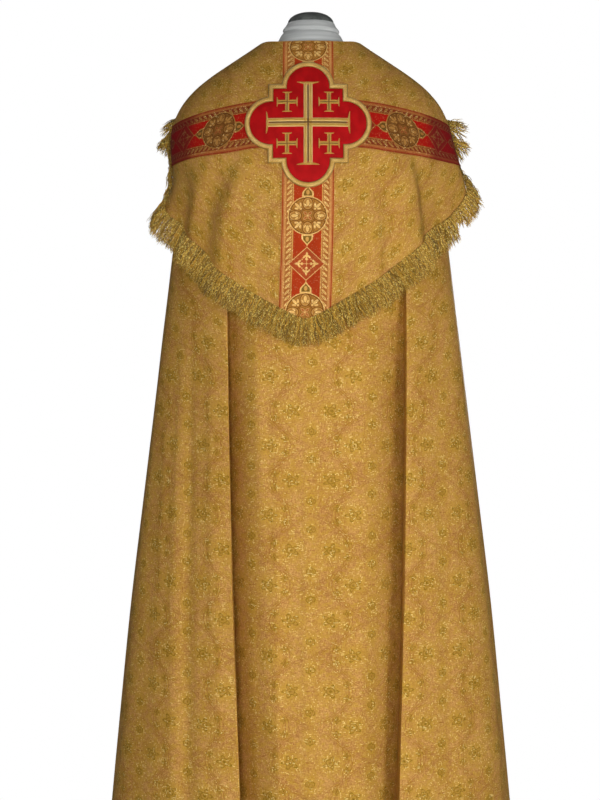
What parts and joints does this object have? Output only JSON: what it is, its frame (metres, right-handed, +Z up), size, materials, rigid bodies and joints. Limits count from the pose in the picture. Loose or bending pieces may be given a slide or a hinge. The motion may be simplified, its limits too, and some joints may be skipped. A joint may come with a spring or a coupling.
{
  "type": "cope vestment on dress form",
  "caption": "Long hooded liturgical cope in gold brocade with fringed hood, orphreys and cross emblem, hanging on a limbless dress form with a pole and round base.",
  "frame": {"origin": "on the floor, at the middle of the stand's round base", "axes": "+Z up; the cope's back with its hood faces -Y and the open front +Y; +X is to the right when the back is looked at"},
  "size_m": [0.76, 0.5421, 1.5863],
  "materials": {
    "gold_brocade": "gold brocade with scroll and small flower figure and metallic glints",
    "lurex_fringe": "twisted metallic thread fringe",
    "woven_galloon": "woven red and gold orphrey band",
    "red_satin": "red satin applique ground",
    "gold_thread": "raised satin stitch in gold thread",
    "clasp_brass": "plain satin brass",
    "pale_jersey": "pale grey stretch cover",
    "dark_cap": "dark smooth neck cap",
    "stand_metal": "dark painted steel"
  },
  "bodies": {
    "root": {"cope_body": "gold_brocade", "hood": "gold_brocade", "hood_fringe": "lurex_fringe", "orphrey_vertical": "woven_galloon", "orphrey_left": "woven_galloon", "orphrey_right": "woven_galloon", "emblem_ground": "red_satin", "emblem_border": "gold_thread", "cross_large": "gold_thread", "cross_small_1": "gold_thread", "cross_small_2": "gold_thread", "cross_small_3": "gold_thread", "cross_small_4": "gold_thread", "clasp_hook": "clasp_brass", "clasp_eye": "clasp_brass", "form_torso": "pale_jersey", "form_cap": "dark_cap", "stand_pole": "stand_metal", "stand_base": "stand_metal"}
  },
  "joints": []
}
